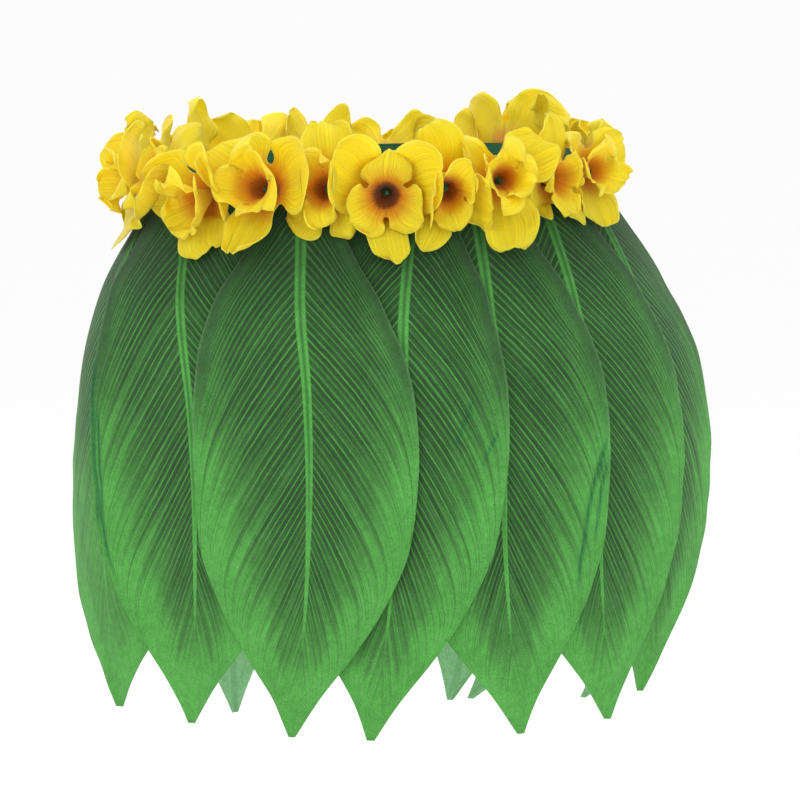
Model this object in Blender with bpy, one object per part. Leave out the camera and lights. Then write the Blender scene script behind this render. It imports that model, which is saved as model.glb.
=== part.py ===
"""A ti leaf skirt: printed cloth leaves and a crowded row of cloth flowers sewn to a waistband.

The skirt holds the hollow, filled-out form that it has when worn. Metres, +Z up. The front of the
skirt faces -Y and the origin is the middle of the waistband's ring. Angles go round the skirt in
degrees, from 0 at the front through 90 at +X. A drop is a distance below the waistband's middle.
"""

import math
import random
from collections import namedtuple

import bpy
import numpy as np

# Waistband: an oval ring, higher at the back and a little higher on the +X side.
WAIST_HALF_WIDTH = 0.140
WAIST_HALF_DEPTH = 0.100
BAND_HEIGHT = 0.020
BAND_WALL = 0.0015
BAND_SEGMENTS = 64
TILT_BACK = 0.087
TILT_SIDE = 0.035

# Cloth walls and the gap between sewn pieces.
LEAF_WALL = 0.0010
PETAL_WALL = 0.0010
SEAM_GAP = 0.0004

# Horizontal sections of the skirt: drop, half width, half depth, middle's x, middle's y.
SECTIONS = (
    (-0.030, 0.1400, 0.1000, 0.000, 0.000),
    (0.010, 0.1400, 0.1000, 0.000, 0.000),
    (0.025, 0.1490, 0.1070, 0.001, 0.001),
    (0.070, 0.1745, 0.1240, 0.003, 0.005),
    (0.120, 0.1905, 0.1360, 0.008, 0.009),
    (0.180, 0.1965, 0.1410, 0.010, 0.010),
    (0.250, 0.1940, 0.1400, 0.010, 0.009),
    (0.370, 0.1810, 0.1320, 0.009, 0.006),
)

# Leaves, from the left side round the front and then the back. The midrib's angle is given at the
# root, at the belly and at the tip. The shoulder is how much broader than the shared outline the
# leaf is just below its root, and left and right are how much of the outline's half width is on
# each side of the midrib. The layers say how far each edge stands off the form, in shingle steps:
# the edge that lies on its neighbour has more than the edge that is covered. The lift is how far
# the stiff cloth of the open edge springs away from the form beyond that, in metres.
Leaf = namedtuple(
    "Leaf",
    "name root belly tip tip_drop root_half_width shoulder left right layer_left layer_right lift",
)
LEAVES = (
    Leaf("leaf_01", -88.0, -67.0, -65.2, 0.3270, 0.0240, 1.25, 1.00, 1.30, 1.0, 0.0, 0.0035),
    Leaf("leaf_02", -57.0, -36.7, -40.9, 0.3300, 0.0240, 1.45, 1.00, 1.00, 1.0, 0.5, 0.0130),
    Leaf("leaf_03", -19.0, -13.7, -18.6, 0.3350, 0.0240, 1.00, 1.07, 0.94, 1.2, 1.2, 0.0035),
    Leaf("leaf_04", 10.5, 1.5, -3.6, 0.3380, 0.0195, 1.15, 1.00, 0.93, 0.0, 1.0, 0.0035),
    Leaf("leaf_05", 27.0, 20.2, 26.1, 0.3385, 0.0195, 1.08, 1.00, 0.98, 0.0, 1.0, 0.0035),
    Leaf("leaf_06", 49.0, 40.3, 47.6, 0.3365, 0.0225, 1.10, 1.00, 0.97, 0.0, 1.0, 0.0035),
    Leaf("leaf_07", 73.0, 62.0, 57.3, 0.3225, 0.0215, 1.25, 1.05, 0.80, 0.0, 1.0, 0.0035),
    Leaf("leaf_08", 104.0, 108.0, 136.0, 0.3590, 0.0240, 1.25, 1.00, 1.00, 0.0, 1.0, 0.0035),
    Leaf("leaf_09", 132.0, 138.0, 163.0, 0.3640, 0.0240, 1.30, 1.00, 1.00, 0.3, 1.2, 0.0035),
    Leaf("leaf_10", 160.0, 160.0, 167.2, 0.3650, 0.0240, 1.30, 1.00, 1.00, 0.0, 0.9, 0.0035),
    Leaf("leaf_11", 188.0, 187.0, 185.0, 0.3600, 0.0240, 1.35, 1.00, 1.00, 0.0, 0.0, 0.0035),
    Leaf("leaf_12", 217.0, 213.0, 214.0, 0.3657, 0.0240, 1.35, 1.00, 1.00, 1.0, 0.0, 0.0035),
    Leaf("leaf_13", 244.5, 246.0, 227.0, 0.3350, 0.0240, 1.30, 1.00, 1.00, 1.0, 0.0, 0.0035),
)
# How strongly a midrib's turn is kept near the root and near the tip.
ROOT_BEND = 4
TIP_BEND = 4
LEAF_HALF_WIDTH = 0.0705
ROOT_TOP = -0.009
ROOT_END = 0.008
SHOULDER_AT = 0.045
SHOULDER_END = 0.24

# A leaf's outline below its root: share of its length, share of its full half width.
OUTLINE = (
    (0.00, 0.330),
    (0.09, 0.500),
    (0.168, 0.727),
    (0.209, 0.810),
    (0.272, 0.920),
    (0.363, 0.990),
    (0.45, 1.010),
    (0.568, 0.980),
    (0.643, 0.930),
    (0.747, 0.740),
    (0.836, 0.500),
    (0.93, 0.200),
    (1.00, 0.030),
)

# Leaves lie on each other like shingles: how far the open edge stands off, and where that begins.
SHINGLE_STEP = 0.0065
SHINGLE_START = 0.003
SHINGLE_FULL = 0.018
EDGE_LIFT_FROM = 0.30
EDGE_LIFT_START = 0.030
EDGE_LIFT_REACH = 0.110
TOP_LAYER = 1.2
MIDRIB_RAISE = 0.0007
MIDRIB_REACH = 0.01
LEAF_COLUMNS = (-1.0, -0.70, -0.38, -0.08, 0.0, 0.08, 0.38, 0.70, 1.0)
LEAF_DROPS = (ROOT_TOP, 0.003, ROOT_END, 0.014, 0.030, 0.055, 0.085, 0.120, 0.160, 0.200, 0.240)
LEAF_END_SHARES = (0.34, 0.64, 0.86, 1.0)

# Flowers: angle round the band, height above its middle, turn to the side, lift of the face (both
# in degrees from straight out), roll about the flower's own axis, size, and how far forward of its
# neighbours its petals open, from 0 to 1. A forward flower keeps its tube narrow and opens over its
# neighbours, and a flower at the back opens flat under them and is more crowded from both sides.
Flower = namedtuple("Flower", "angle height turn lift roll size forward")
FLOWERS = (
    Flower(-87.0, 0.005, 4.0, 2.0, -30.0, 0.98, 1.0),
    Flower(-64.0, 0.007, -16.0, 26.0, 30.0, 0.98, 0.1),
    Flower(-45.0, 0.004, -14.0, -20.0, -20.0, 0.98, 0.6),
    Flower(-27.0, 0.006, -14.0, 12.0, -40.0, 1.04, 1.0),
    Flower(-11.0, 0.006, -10.0, 10.0, 30.0, 0.96, 0.1),
    Flower(3.0, 0.005, -2.0, -8.0, -30.0, 1.02, 0.9),
    Flower(18.0, 0.006, -6.0, -10.0, 45.0, 1.00, 0.5),
    Flower(33.0, 0.007, -12.0, 24.0, -20.0, 0.98, 0.8),
    Flower(49.0, 0.005, 4.0, 0.0, 30.0, 0.90, 0.1),
    Flower(67.0, 0.005, -20.0, 8.0, -30.0, 0.94, 0.8),
    Flower(87.0, 0.005, -6.0, 0.0, 10.0, 0.76, 0.0),
    Flower(107.0, 0.006, -2.0, 16.0, -30.0, 0.82, 0.6),
    Flower(126.0, 0.006, 8.0, 8.0, 30.0, 0.92, 0.1),
    Flower(144.0, 0.006, -6.0, 18.0, -30.0, 0.98, 0.9),
    Flower(161.0, 0.002, 6.0, -20.0, -30.0, 0.88, 0.0),
    Flower(178.0, 0.000, -8.0, -12.0, -30.0, 0.84, 0.8),
    Flower(195.0, 0.002, 6.0, -14.0, -30.0, 0.90, 0.1),
    Flower(212.0, 0.004, -8.0, 4.0, -30.0, 0.94, 0.9),
    Flower(231.0, 0.005, 8.0, -4.0, 30.0, 0.90, 0.1),
    Flower(252.0, 0.006, -4.0, 16.0, -30.0, 0.96, 0.8),
)
PETALS_PER_WHORL = 3

# Each flower has an inner trumpet and an outer spread of petals. The slope is the angle between a
# petal's middle line and the flower's axis, at its base and at its tip. Up to the split the petals
# are joined in a ring.
Whorl = namedtuple(
    "Whorl", "name base_radius length slope_base slope_tip slope_power split half_width turn"
)
WHORLS = (
    Whorl("inner", 0.0025, 0.038, 15.0, 104.0, 1.25, 0.42, 0.0165, 0.0),
    Whorl("outer", 0.0043, 0.045, 48.0, 106.0, 0.9, 0.22, 0.0230, 60.0),
)
RING_SHARE = 0.80
RING_ROWS = (0.0, 0.5, 1.0)
BLADE_ROWS = (0.33, 0.68, 1.0)
BLADE_COLUMNS = (-1.0, 0.0, 1.0)
BLADE_TIP_SHARE = 0.70
SPINE_STEPS = 24
BLADE_BROAD_AT = 0.55
BLADE_TIP_FROM = 0.45
BLADE_TIP_POWER = 2.2
CUP_DEPTH = 0.012
CELL_MARGIN = 0.0008
CELL_SOFTNESS = 0.0035
CELL_REACH = 0.090
FORWARD_SLANT = 0.55
FORWARD_CLOSING = 20.0
CROWDING_FORWARD = 0.12
CROWDING_BACK = 0.45
CROWDING_RADIUS = 0.020
WHORL_GAP = 0.0019
SEAT_REACH = 0.0065
PRESS_OUT = 1.0
COVER_MARGIN = 0.0014
SETTLE_ROUNDS = 8
ROOT_MARGIN_DEGREES = 2.0
LEAN_START = 0.004
LEAN_REACH = 0.030
LEAN_SHARE = 0.9

# How much petals differ: a share of the length, degrees of slope, radians of sway, metres of
# curl at the edges and a share of the width.
HABITS = (
    ("length", -0.12, 0.12),
    ("slope", -16.0, 16.0),
    ("sway", -0.26, 0.26),
    ("curl", -0.0075, 0.0045),
    ("width", 0.78, 1.12),
)
# A flower with its own seed, as its first petals would have touched each other.
HABIT_SEEDS = {1: 3000}

SHARP_ANGLE = 50.0
NEAREST_ROUNDS = 3

LEAF_GREEN = (0.10, 0.33, 0.09)
BAND_GREEN = (0.03, 0.12, 0.06)
PETAL_YELLOW = (0.88, 0.62, 0.02)
THROAT_ORANGE = (0.78, 0.40, 0.03)


def smooth_step(x):
    x = np.clip(x, 0.0, 1.0)
    return x * x * (3.0 - 2.0 * x)


def monotone(rows, x):
    """Reads a table at x with a smooth curve that doesn't overshoot. The first column is x."""
    table = np.array(rows)
    knots, values = table[:, 0], table[:, 1:]
    gaps = np.diff(knots)[:, None]
    slopes = np.diff(values, axis=0) / gaps
    tangents = np.zeros_like(values)
    before, after = slopes[:-1], slopes[1:]
    same_way = before * after > 0
    mean = 2.0 * before * after / np.where(same_way, before + after, 1.0)
    tangents[1:-1] = np.where(same_way, mean, 0.0)
    tangents[-1] = slopes[-1]
    x = np.clip(np.asarray(x, float), knots[0], knots[-1])
    i = np.clip(np.searchsorted(knots, x, side="right") - 1, 0, len(knots) - 2)
    gap = gaps[i, 0]
    t = ((x - knots[i]) / gap)[..., None]
    rise = values[i + 1] - values[i]
    start = tangents[i] * gap[..., None]
    end = tangents[i + 1] * gap[..., None]
    return values[i] + t * (start + t * (3 * rise - 2 * start - end + t * (start + end - 2 * rise)))


def waist_height(angle):
    """Height of the waistband's middle at an angle in radians."""
    side = WAIST_HALF_WIDTH * np.sin(angle) * TILT_SIDE
    return side - WAIST_HALF_DEPTH * np.cos(angle) * TILT_BACK


def form_point(angle, drop):
    """A point of the skirt's form, which the leaves follow."""
    half_width, half_depth, x, y = np.moveaxis(monotone(SECTIONS, drop), -1, 0)
    across = x + half_width * np.sin(angle)
    along = y - half_depth * np.cos(angle)
    return np.stack([across, along, waist_height(angle) - drop], axis=-1)


def form_normal(angle, drop):
    """The form's outward direction."""
    step = 1e-4
    round_way = form_point(angle + step, drop) - form_point(angle - step, drop)
    down_way = form_point(angle, drop + step) - form_point(angle, drop - step)
    normal = np.cross(down_way, round_way)
    return normal / np.linalg.norm(normal, axis=-1, keepdims=True)


def round_rate(angle, drop):
    """Metres round the form for each radian."""
    half_width, half_depth = np.moveaxis(monotone(SECTIONS, drop), -1, 0)[:2]
    return np.hypot(half_width * np.cos(angle), half_depth * np.sin(angle))


def form_place(points):
    """Angle and drop of the nearest place on the form, and the distance outside it."""
    foot = points
    for _ in range(NEAREST_ROUNDS):
        angle = np.arctan2(foot[..., 0], -foot[..., 1])
        for _ in range(NEAREST_ROUNDS):
            drop = waist_height(angle) - foot[..., 2]
            half_width, half_depth, x, y = np.moveaxis(monotone(SECTIONS, drop), -1, 0)
            angle = np.arctan2((foot[..., 0] - x) / half_width, (y - foot[..., 1]) / half_depth)
        normal = form_normal(angle, drop)
        outside = np.sum((points - form_point(angle, drop)) * normal, axis=-1)
        foot = points - normal * outside[..., None]
    return angle, drop, outside


def midrib_angle(leaf, drop):
    share = np.clip(drop / leaf.tip_drop, 0.0, 1.0)
    from_root = (leaf.root - leaf.belly) * (1.0 - share) ** ROOT_BEND
    from_tip = (leaf.tip - leaf.belly) * share**TIP_BEND
    return np.radians(leaf.belly + from_root + from_tip)


def leaf_half_width(leaf, drop):
    share = np.clip((drop - ROOT_END) / (leaf.tip_drop - ROOT_END), 0.0, 1.0)
    outline = monotone(OUTLINE, share)[..., 0] * LEAF_HALF_WIDTH
    at_root = leaf.root_half_width / (OUTLINE[0][1] * LEAF_HALF_WIDTH)
    begun = smooth_step(share / SHOULDER_AT)
    root = 1.0 + (at_root - 1.0) * (1.0 - begun)
    broad = begun * (1.0 - smooth_step((share - SHOULDER_AT) / SHOULDER_END))
    return outline * root * (1.0 + (leaf.shoulder - 1.0) * broad)


def edge_lift_share(drop):
    return smooth_step((drop - EDGE_LIFT_START) / EDGE_LIFT_REACH)


def stand_off(leaf, across, drop):
    """How far the leaf's inner face stands off the form. Across goes from -1 to 1."""
    begun = smooth_step((drop - SHINGLE_START) / (SHINGLE_FULL - SHINGLE_START))
    narrow = np.clip(leaf_half_width(leaf, drop) / LEAF_HALF_WIDTH, 0.0, 1.0)
    middle = (leaf.layer_left + leaf.layer_right) / 2.0
    slant = (leaf.layer_right - leaf.layer_left) / 2.0
    layer = middle + slant * across * np.where(drop > SHINGLE_FULL, np.sqrt(narrow), 1.0)
    openness = across * np.sign(slant)
    free = np.clip((openness - EDGE_LIFT_FROM) / (1.0 - EDGE_LIFT_FROM), 0.0, 1.0)
    flare = leaf.lift * free**2 * narrow * edge_lift_share(drop)
    return SEAM_GAP + begun * (SHINGLE_STEP * layer + flare)


def leaf_surface(leaf, across, drop):
    """Points on the leaf's inner face and the form's normals there."""
    middle = midrib_angle(leaf, drop)
    side = np.where(across < 0.0, leaf.left, leaf.right)
    reach = across * side * leaf_half_width(leaf, drop)
    angle = middle + reach / round_rate(middle, drop)
    angle = middle + reach / round_rate((middle + angle) / 2.0, drop)
    normal = form_normal(angle, drop)
    return form_point(angle, drop) + normal * stand_off(leaf, across, drop)[..., None], normal


def material(name, colour, roughness):
    made = bpy.data.materials.new(name)
    made.use_nodes = True
    shader = made.node_tree.nodes["Principled BSDF"]
    shader.inputs["Base Color"].default_value = (*colour, 1.0)
    shader.inputs["Roughness"].default_value = roughness
    shader.inputs["Metallic"].default_value = 0.0
    made.diffuse_color = (*colour, 1.0)
    return made


def add_object(name, points, faces, finish):
    mesh = bpy.data.meshes.new(name)
    mesh.from_pydata([tuple(map(float, point)) for point in points], [], faces)
    mesh.materials.append(finish)
    mesh.shade_smooth()
    mesh.set_sharp_from_angle(angle=math.radians(SHARP_ANGLE))
    made = bpy.data.objects.new(name, mesh)
    bpy.context.scene.collection.objects.link(made)
    return made


def closed_wall(outer, inner):
    """Points and faces of a sheet with two grids of points as its faces."""
    rows, columns = outer.shape[:2]
    count = rows * columns
    faces = []
    for i in range(rows - 1):
        for j in range(columns - 1):
            a, b = i * columns + j, (i + 1) * columns + j
            for face in ((a, b, b + 1), (a, b + 1, a + 1)):
                faces.append(face)
                faces.append(tuple(count + k for k in reversed(face)))
    rim = list(range(columns))
    rim += [i * columns + columns - 1 for i in range(1, rows)]
    rim += [(rows - 1) * columns + j for j in range(columns - 2, -1, -1)]
    rim += [i * columns for i in range(rows - 2, 0, -1)]
    for a, b in zip(rim, rim[1:] + rim[:1]):
        faces.append((a, b, count + b, count + a))
    return np.concatenate([outer.reshape(-1, 3), inner.reshape(-1, 3)]), faces


def make_band(finish):
    angles = np.linspace(0.0, 2.0 * math.pi, BAND_SEGMENTS, endpoint=False)
    half = BAND_HEIGHT / 2.0
    loops = []
    for drop, depth in ((-half, 0.0), (half, 0.0), (half, BAND_WALL), (-half, BAND_WALL)):
        place = form_point(angles, np.full_like(angles, drop))
        loops.append(place - form_normal(angles, np.zeros_like(angles)) * depth)
    points = np.stack(loops, axis=1).reshape(-1, 3)
    faces = []
    for i in range(BAND_SEGMENTS):
        here, there = 4 * i, 4 * ((i + 1) % BAND_SEGMENTS)
        for k in range(4):
            after = (k + 1) % 4
            faces.append((here + k, here + after, there + after, there + k))
    return add_object("waistband", points, faces, finish)


def make_leaf(leaf, finish):
    last = LEAF_DROPS[-1]
    ends = [last + share * (leaf.tip_drop - last) for share in LEAF_END_SHARES]
    drops = np.array(list(LEAF_DROPS) + ends)
    across, drop = np.meshgrid(np.array(LEAF_COLUMNS), drops)
    inner, normal = leaf_surface(leaf, across, drop)
    raised = MIDRIB_RAISE * (np.abs(across) < MIDRIB_REACH) * (1.0 - smooth_step(drop / leaf.tip_drop))
    outer = inner + normal * (LEAF_WALL + raised)[..., None]
    points, faces = closed_wall(outer, inner)
    return add_object(leaf.name, points, faces, finish)


def covered_by_root(angle):
    """True where a leaf's root lies between the band and a flower at this angle in degrees."""
    for leaf in LEAVES:
        apart = abs((angle - leaf.root + 180.0) % 360.0 - 180.0)
        rate = round_rate(np.radians(leaf.root), 0.0)
        if apart < math.degrees(leaf.root_half_width / rate) + ROOT_MARGIN_DEGREES:
            return True
    return False


def flower_frame(flower):
    """The flower's base point and its axis, with two directions across it."""
    angle = np.radians(flower.angle)
    out = form_normal(angle, -flower.height)
    out = np.array([out[0], out[1], 0.0]) / np.hypot(out[0], out[1])
    side = np.array([-out[1], out[0], 0.0])
    turn, lift = np.radians(flower.turn), np.radians(flower.lift)
    level = out * math.cos(turn) + side * math.sin(turn)
    up = np.array([0.0, 0.0, 1.0])
    axis = level * math.cos(lift) + up * math.sin(lift)
    across = np.cross(up, level)
    upward = np.cross(level, across)
    upward = upward * math.cos(lift) - level * math.sin(lift)
    tilt = math.sqrt(max(0.0, 1.0 - float(axis @ out) ** 2))
    seat = SEAM_GAP + (LEAF_WALL + SEAM_GAP if covered_by_root(flower.angle) else 0.0)
    ring = WHORLS[-1].base_radius * tilt
    base = form_point(angle, -flower.height) + out * (seat + PETAL_WALL / 2.0 + ring)
    return base, axis, across, upward


def petal_habits(flower_index, whorl_index):
    """Each petal's own length, slope, sideways bend, edge curl and width."""
    chance = random.Random(HABIT_SEEDS.get(flower_index, 100 * flower_index) + whorl_index)
    habits = []
    for _ in range(PETALS_PER_WHORL):
        habits.append({name: chance.uniform(low, high) for name, low, high in HABITS})
    return habits


def petal_points(whorl, flower, petal, habit, across, along):
    """Points of one petal in the flower's own axes: across it, up it and along its axis."""
    steps = np.linspace(0.0, 1.0, SPINE_STEPS + 1)
    free = np.clip((steps - whorl.split) / (1.0 - whorl.split), 0.0, 1.0)
    rise = whorl.slope_tip - whorl.slope_base
    slope = whorl.slope_base + rise * steps**whorl.slope_power + habit["slope"] * free
    opened = np.minimum(steps / whorl.split, 1.0)
    slope = np.radians(slope + FORWARD_CLOSING * (0.5 - flower.forward) * opened)
    length = whorl.length * flower.size * (1.0 + habit["length"] * free)
    piece = (length[1:] + length[:-1]) / 2.0 / SPINE_STEPS
    middle = (slope[1:] + slope[:-1]) / 2.0
    radius = whorl.base_radius + np.concatenate([[0.0], np.cumsum(piece * np.sin(middle))])
    height = np.concatenate([[0.0], np.cumsum(piece * np.cos(middle))])
    radius_here = np.interp(along, steps, radius)
    height_here = np.interp(along, steps, height)
    slope_here = np.interp(along, steps, slope)
    sector = math.pi / PETALS_PER_WHORL * RING_SHARE
    at_split = sector * np.interp(whorl.split, steps, radius)
    t = np.clip((along - whorl.split) / (1.0 - whorl.split), 0.0, 1.0)
    full = whorl.half_width * flower.size * habit["width"]
    width = at_split + (full - at_split) * smooth_step(t / BLADE_BROAD_AT)
    tip = np.clip((t - BLADE_TIP_FROM) / (1.0 - BLADE_TIP_FROM), 0.0, 1.0)
    width = width * (1.0 - (1.0 - BLADE_TIP_SHARE) * tip**BLADE_TIP_POWER)
    half_angle = np.where(along <= whorl.split, sector, width / radius_here)
    turn = 2.0 * math.pi * petal / PETALS_PER_WHORL + math.radians(whorl.turn + flower.roll)
    angle = turn + across * half_angle + habit["sway"] * t**2
    bend = habit["curl"] * across**2 * t
    radius_here = radius_here - bend * np.cos(slope_here)
    height_here = height_here + bend * np.sin(slope_here)
    crowding = CROWDING_BACK + (CROWDING_FORWARD - CROWDING_BACK) * flower.forward
    narrowed = 1.0 - crowding * smooth_step(radius_here / CROWDING_RADIUS)
    sideways = radius_here * np.cos(angle) * narrowed
    return np.stack([sideways, radius_here * np.sin(angle), height_here], axis=-1)


def cells(cups, index):
    """Planes between a flower and its neighbours, each as a point and a direction towards it."""
    own, own_out, own_forward = cups[index]
    planes = []
    for i, (other, other_out, other_forward) in enumerate(cups):
        if i == index or np.linalg.norm(other - own) > CELL_REACH:
            continue
        out = (own_out + other_out) / 2.0
        way = (other - own) / np.linalg.norm(other - own)
        way = way - out * FORWARD_SLANT * (own_forward - other_forward)
        planes.append(((own + other) / 2.0, way / np.linalg.norm(way)))
    return planes


def press_into_cell(points, planes, axis, inset):
    """Crowded petals stop at the plane to each neighbour and turn outward there."""
    for middle, way in planes:
        room = (middle - points) @ way - CELL_MARGIN - inset
        eased = CELL_SOFTNESS * np.exp(np.minimum(room / CELL_SOFTNESS - 1.0, 0.0))
        moved = np.where(room < CELL_SOFTNESS, eased - room, 0.0)
        along = axis - way * float(axis @ way)
        points = points - moved[..., None] * way + (PRESS_OUT * moved)[..., None] * along
    return points


def rest_on_leaves(points, inset):
    """Petals stay outside the leaves and the band, and above the band they may lean in."""
    angle, drop, outside = form_place(points)
    begun = smooth_step((drop - SHINGLE_START) / (SHINGLE_FULL - SHINGLE_START))
    flare = max(leaf.lift for leaf in LEAVES) * edge_lift_share(drop)
    cover = 2.0 * SEAM_GAP + LEAF_WALL + begun * (TOP_LAYER * SHINGLE_STEP + flare)
    above = np.clip(-drop - BAND_HEIGHT / 2.0 - LEAN_START, 0.0, LEAN_REACH)
    lacking = cover + COVER_MARGIN + inset - LEAN_SHARE * above - outside
    return points + form_normal(angle, drop) * np.maximum(lacking, 0.0)[..., None]


def settle(points, planes, axis, base, inset):
    """Lets petals make way for their neighbours and the leaves. The seat itself stays put."""
    away = np.linalg.norm(points - base, axis=-1)
    hold = smooth_step((away - SEAT_REACH) / SEAT_REACH)[..., None]
    start = points
    for _ in range(SETTLE_ROUNDS):
        points = press_into_cell(points, planes, axis, inset)
        points = rest_on_leaves(points, inset)
    return start + (points - start) * hold


def make_whorl(name, flower, index, whorl, whorl_index, cups, finish):
    """One ring of petals: a ring of points up to the split, then a blade for each petal."""
    base, axis, across_way, upward = flower_frame(flower)
    habits = petal_habits(index, whorl_index)
    columns = np.array(BLADE_COLUMNS)
    ring_along = whorl.split * np.array(RING_ROWS)
    blade_along = whorl.split + (1.0 - whorl.split) * np.array(BLADE_ROWS)
    along_rows = np.concatenate([ring_along, blade_along])
    points = []
    for petal in range(PETALS_PER_WHORL):
        across, along = np.meshgrid(columns, along_rows)
        points.append(petal_points(whorl, flower, petal, habits[petal], across, along))
    local = np.array(points)
    world = base + local[..., 0:1] * across_way + local[..., 1:2] * upward
    world = world + local[..., 2:3] * axis
    inset = WHORL_GAP * (len(WHORLS) - 1 - whorl_index)
    world = settle(world, cells(cups, index), axis, base, inset)
    rows, wide = len(along_rows), len(columns)
    at = np.arange(PETALS_PER_WHORL * rows * wide).reshape(PETALS_PER_WHORL, rows, wide)
    faces = []
    for petal in range(PETALS_PER_WHORL):
        after = (petal + 1) % PETALS_PER_WHORL
        for i in range(rows - 1):
            for j in range(wide - 1):
                lower, upper = at[petal, i], at[petal, i + 1]
                faces.append((lower[j], lower[j + 1], upper[j + 1], upper[j]))
            if i < len(ring_along) - 1:
                here, there = at[petal, i : i + 2, -1], at[after, i : i + 2, 0]
                faces.append((here[0], there[0], there[1], here[1]))
    faces = [tuple(int(k) for k in face) for face in faces]
    made = add_object(name, world.reshape(-1, 3), faces, finish)
    wall = made.modifiers.new("wall", "SOLIDIFY")
    wall.thickness = PETAL_WALL
    wall.offset = 0.0
    return made


def clear_scene():
    for thing in list(bpy.data.objects):
        bpy.data.objects.remove(thing, do_unlink=True)


def main():
    clear_scene()
    make_band(material("band cloth", BAND_GREEN, 0.8))
    leaf_cloth = material("leaf cloth", LEAF_GREEN, 0.75)
    for leaf in LEAVES:
        make_leaf(leaf, leaf_cloth)
    finishes = {
        "inner": material("inner petal cloth", THROAT_ORANGE, 0.5),
        "outer": material("outer petal cloth", PETAL_YELLOW, 0.5),
    }
    cups = []
    for flower in FLOWERS:
        base, axis, _, _ = flower_frame(flower)
        out = form_normal(np.radians(flower.angle), 0.0)
        cups.append((base + axis * CUP_DEPTH, out, flower.forward))
    for index, flower in enumerate(FLOWERS):
        for whorl_index, whorl in enumerate(WHORLS):
            name = f"flower_{index + 1:02d}_{whorl.name}"
            make_whorl(name, flower, index, whorl, whorl_index, cups, finishes[whorl.name])


main()
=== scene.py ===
"""The looks of a ti leaf skirt: printed cloth leaves, satin flowers and an elastic waistband.

Metres, +Z up, the front of the skirt faces -Y and the origin is the middle of the waistband. Angles
go round the skirt in degrees, from 0 at the front through 90 at +X. A drop is a distance below the
waistband's middle. The tables of the form, the leaves and the flowers repeat the sizes that the
solids were made from. The petals' sizes and spacing are near those of the solids, but the fine
petals have their own.
"""

import math
import random
from collections import namedtuple
from functools import reduce

import bpy
import numpy as np
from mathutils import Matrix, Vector


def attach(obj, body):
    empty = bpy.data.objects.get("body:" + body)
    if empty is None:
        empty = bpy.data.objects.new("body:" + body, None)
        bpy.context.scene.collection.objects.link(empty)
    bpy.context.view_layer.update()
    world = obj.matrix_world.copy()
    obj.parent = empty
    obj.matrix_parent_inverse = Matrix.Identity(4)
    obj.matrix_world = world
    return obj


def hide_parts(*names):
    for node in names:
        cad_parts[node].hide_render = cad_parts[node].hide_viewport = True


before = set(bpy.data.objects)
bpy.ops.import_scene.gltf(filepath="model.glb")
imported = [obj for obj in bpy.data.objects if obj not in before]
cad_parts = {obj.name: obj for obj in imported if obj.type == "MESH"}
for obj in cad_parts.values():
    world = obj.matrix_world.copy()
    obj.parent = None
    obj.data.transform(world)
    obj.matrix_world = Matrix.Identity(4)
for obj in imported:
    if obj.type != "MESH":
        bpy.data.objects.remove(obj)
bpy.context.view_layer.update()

# The form of the skirt.
WAIST_HALF_WIDTH = 0.140
WAIST_HALF_DEPTH = 0.100
BAND_HEIGHT = 0.020
TILT_BACK = 0.087
TILT_SIDE = 0.035
LEAF_WALL = 0.0010
PETAL_WALL = 0.0010
SEAM_GAP = 0.0004

# Horizontal sections: drop, half width, half depth, middle's x, middle's y.
SECTIONS = (
    (-0.030, 0.1400, 0.1000, 0.000, 0.000),
    (0.010, 0.1400, 0.1000, 0.000, 0.000),
    (0.025, 0.1490, 0.1070, 0.001, 0.001),
    (0.070, 0.1745, 0.1240, 0.003, 0.005),
    (0.120, 0.1905, 0.1360, 0.008, 0.009),
    (0.180, 0.1965, 0.1410, 0.010, 0.010),
    (0.250, 0.1940, 0.1400, 0.010, 0.009),
    (0.370, 0.1810, 0.1320, 0.009, 0.006),
)

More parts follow.
